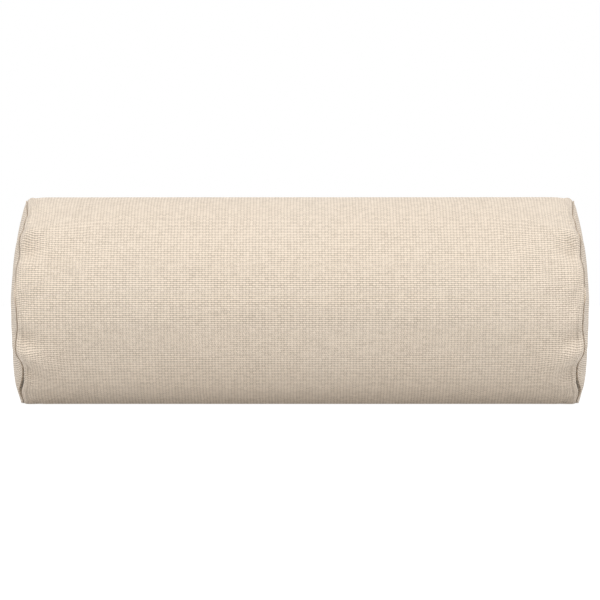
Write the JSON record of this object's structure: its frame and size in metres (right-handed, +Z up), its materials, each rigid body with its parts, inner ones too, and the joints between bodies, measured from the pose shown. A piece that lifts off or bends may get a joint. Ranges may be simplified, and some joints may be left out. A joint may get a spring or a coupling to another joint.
{
  "type": "bolster pillow",
  "caption": "Round firm bolster pillow: woven cover with sewn-in end panels and a coil zip along the back, over a foam and wadding insert.",
  "frame": {"origin": "middle of the flat that the roll rests on", "axes": "+X along the roll towards the closed end of the zip, +Y towards the back, where the zip is, +Z up"},
  "size_m": [0.46, 0.1704, 0.1655],
  "materials": {
    "cover_weave": "cream plain weave of coated yarn bundles, low sheen",
    "sewing_thread": "twisted polyester thread",
    "binding_tape": "ribbed binding tape",
    "zip_tape": "fine herringbone zip tape",
    "zip_coil": "cream polyester monofilament",
    "zip_metal": "satin nickel plate, worn brighter at the edges",
    "label_satin": "blank white satin ribbon",
    "liner_cloth": "thin white cotton",
    "wadding": "white polyester wadding",
    "foam": "open-cell foam, pale yellow"
  },
  "bodies": {
    "pillow": {"cover_body_panel": "cover_weave", "cover_end_left": "cover_weave", "cover_end_right": "cover_weave", "end_seam_thread_left": "sewing_thread", "end_seam_thread_right": "sewing_thread", "end_seam_binding_left": "binding_tape", "end_seam_binding_right": "binding_tape", "back_seam_thread_left": "sewing_thread", "back_seam_thread_right": "sewing_thread", "zip_tape_upper": "zip_tape", "zip_tape_lower": "zip_tape", "zip_coil_upper": "zip_coil", "zip_coil_lower": "zip_coil", "zip_top_stops": "zip_metal", "zip_bottom_stop": "zip_metal", "zip_stitches_upper": "sewing_thread", "zip_stitches_lower": "sewing_thread", "zip_bartacks": "sewing_thread", "care_label": "label_satin", "liner_body": "liner_cloth", "liner_end_left": "liner_cloth", "liner_end_right": "liner_cloth", "liner_closing_stitches": "sewing_thread", "wadding_wrap": "wadding", "wadding_disc_left": "wadding", "wadding_disc_right": "wadding", "foam_core": "foam"},
    "slider": {"zip_slider": "zip_metal"},
    "puller": {"zip_puller": "zip_metal"}
  },
  "joints": [
    {"name": "zip_slide", "type": "slide", "parent": "pillow", "child": "slider", "axis": [-1, 0, 0], "range_m": [0, 0.331]},
    {"name": "puller_swing", "type": "hinge", "parent": "slider", "child": "puller", "pos_m": [0.1657, 0.08159, 0.11346], "axis": [0, 0.3746, -0.9272], "range_deg": [0, 175]}
  ]
}
